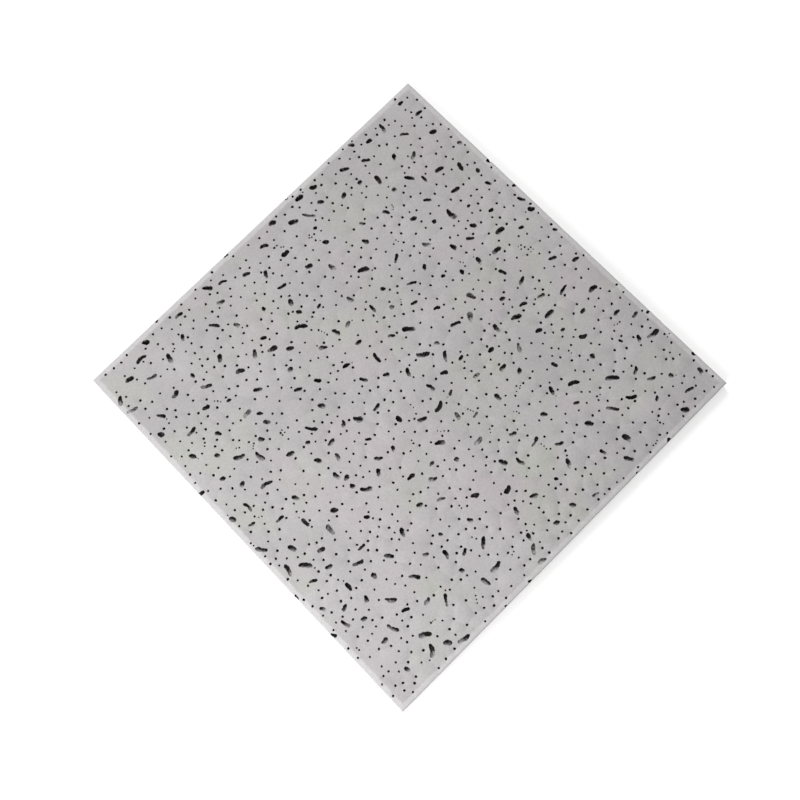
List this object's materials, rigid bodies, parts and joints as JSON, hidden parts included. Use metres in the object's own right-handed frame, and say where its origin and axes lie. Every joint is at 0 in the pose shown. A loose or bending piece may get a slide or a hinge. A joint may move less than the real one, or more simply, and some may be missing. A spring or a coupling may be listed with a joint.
{
  "type": "suspended ceiling tile",
  "caption": "Square mineral-fibre lay-in ceiling tile with a matt painted face of short winding fissures and pinholes; lies in a suspended grid.",
  "frame": {"origin": "middle of the back, the plain side that faces up in a ceiling and lies on the floor here", "axes": "+Z out of the painted, fissured face; X and Y along the sides. In a ceiling the tile is turned over, with +Z down"},
  "size_m": [0.595, 0.595, 0.015],
  "materials": {
    "painted_mineral_fibre": "matte"
  },
  "bodies": {
    "root": {"ceiling_tile": "painted_mineral_fibre"}
  },
  "joints": []
}
